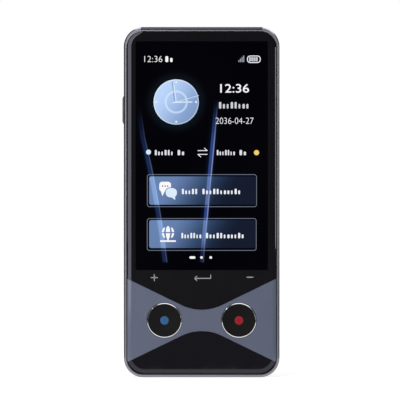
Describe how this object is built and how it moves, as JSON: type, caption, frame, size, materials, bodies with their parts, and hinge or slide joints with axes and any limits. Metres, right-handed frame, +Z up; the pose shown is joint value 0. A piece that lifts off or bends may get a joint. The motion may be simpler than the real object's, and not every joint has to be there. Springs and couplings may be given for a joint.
{
  "type": "handheld translator",
  "caption": "Slim hand-held voice translator: tall touch screen over a bow-tie keypad plate with round push keys, a side power key and a bottom charging port.",
  "frame": {"origin": "middle of the bottom edge, at mid-depth, where the handset stands on its lower end", "axes": "+Z up along the length, +X to the right as the screen is read, +Y from the screen towards the back cover"},
  "size_m": [0.0629, 0.0131, 0.14],
  "materials": {
    "frame_paint": "satin, anodised blue-grey",
    "insert_plastic": "fine matt moulding",
    "cover_glass": "black-backed polished glass",
    "plate_paint": "blue-grey metallic lacquer",
    "chin_gloss": "polished",
    "tape_black": "adhesive film",
    "display_panel": "polarizer film",
    "flex_film": "amber film",
    "steel_sheet": "stamped sheet",
    "carrier_plastic": "moulded",
    "board_green": "solder mask",
    "chip_black": "moulding compound",
    "lamp_white": "lamp body",
    "ring_chrome": "polished",
    "key_gloss": "polished",
    "blue_lens": "translucent",
    "red_lens": "translucent",
    "switch_plastic": "moulded",
    "plated_steel": "nickel plated",
    "battery_pouch": "foil pouch",
    "foam_black": "foam",
    "cover_plastic": "fine soft-touch paint",
    "mesh_black": "woven mesh",
    "lens_glass": "polished",
    "frosted_lens": "frosted"
  },
  "bodies": {
    "handset": {"mid_frame": "frame_paint", "top_insert": "insert_plastic", "front_glass": "cover_glass", "keypad_plate": "plate_paint", "chin_trim": "chin_gloss", "front_tape": "tape_black", "display_module": "display_panel", "display_flex": "flex_film", "chassis_plate": "steel_sheet", "key_carrier": "carrier_plastic", "lower_board": "board_green", "key_lamps": "lamp_white", "left_key_ring": "ring_chrome", "right_key_ring": "ring_chrome", "left_key_switch": "switch_plastic", "right_key_switch": "switch_plastic", "power_switch": "switch_plastic", "power_board": "board_green", "main_board": "board_green", "processor_shield": "plated_steel", "radio_shield": "plated_steel", "board_chips": "chip_black", "board_connectors": "chip_black", "board_screws": "plated_steel", "battery": "battery_pouch", "battery_foam": "foam_black", "battery_tail": "flex_film", "link_flex": "flex_film", "speaker": "carrier_plastic", "speaker_gasket": "foam_black", "speaker_mesh": "mesh_black", "camera_module": "chip_black", "camera_window": "lens_glass", "flash_lamp": "lamp_white", "flash_lens": "frosted_lens", "usb_shell": "plated_steel", "usb_tongue": "chip_black", "microphone": "plated_steel", "vibration_motor": "plated_steel", "antenna_carrier": "carrier_plastic", "back_cover": "cover_plastic"},
    "left_key": {"left_key_cap": "key_gloss", "left_key_lens": "blue_lens", "left_switch_stem": "switch_plastic"},
    "right_key": {"right_key_cap": "key_gloss", "right_key_lens": "red_lens", "right_switch_stem": "switch_plastic"},
    "power_key": {"power_key_cap": "frame_paint", "power_switch_stem": "switch_plastic"}
  },
  "joints": [
    {"name": "left_key_press", "type": "slide", "parent": "handset", "child": "left_key", "axis": [0, 1, 0], "range_m": [0, 0.0004], "stiffness_N_per_m": 2500, "springref_m": -0.0002},
    {"name": "right_key_press", "type": "slide", "parent": "handset", "child": "right_key", "axis": [0, 1, 0], "range_m": [0, 0.0004], "stiffness_N_per_m": 2500, "springref_m": -0.0002},
    {"name": "power_key_press", "type": "slide", "parent": "handset", "child": "power_key", "axis": [1, 0, 0], "range_m": [0, 0.00035], "stiffness_N_per_m": 3500, "springref_m": -0.0002}
  ]
}
